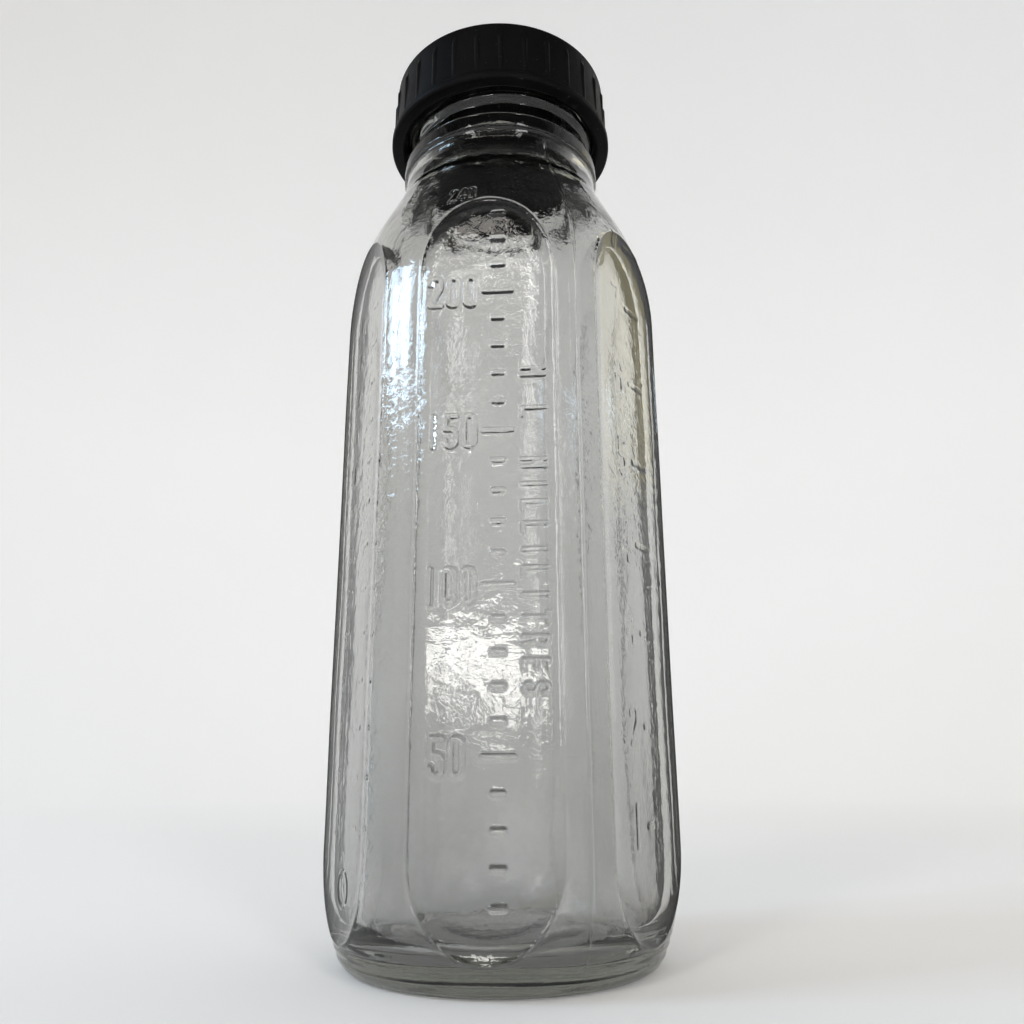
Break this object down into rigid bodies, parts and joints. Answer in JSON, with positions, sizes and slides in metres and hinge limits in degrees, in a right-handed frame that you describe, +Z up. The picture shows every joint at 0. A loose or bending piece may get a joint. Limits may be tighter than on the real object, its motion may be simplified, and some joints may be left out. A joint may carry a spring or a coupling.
{
  "type": "glass nursing bottle",
  "caption": "Clear glass bottle with flat arched panels and a raised measuring scale, closed by a black screw ring with a sealing disc.",
  "frame": {"origin": "centre of the base, on the surface the bottle stands on", "axes": "+Z up along the bottle's axis, -Y out of the panel with the main scale, +X to the right of that panel"},
  "size_m": [0.058, 0.054, 0.165],
  "materials": {
    "clear_glass": "clear moulded glass, fire-polished, slightly grey-green",
    "black_plastic": "moulded black thermoset, glossy with light wear",
    "black_disc": "moulded black thermoset, satin",
    "liner_rubber": "dark soft rubber"
  },
  "bodies": {
    "bottle": {"glass_bottle": "clear_glass"},
    "disc": {"sealing_disc": "black_disc", "seal_liner": "liner_rubber"},
    "ring": {"screw_ring": "black_plastic"}
  },
  "joints": [
    {"name": "closure_lift", "type": "slide", "parent": "bottle", "child": "disc", "axis": [0, 0, 1], "range_m": [0, 0.0127]},
    {"name": "ring_turn", "type": "hinge", "parent": "disc", "child": "ring", "pos_m": [0, 0, 0.158], "axis": [0, 0, 1], "range_deg": [0, 1080]}
  ],
  "couplings": [
    {"joint": "closure_lift", "follows": "ring_turn", "m_per_rad": 0.0006737}
  ]
}
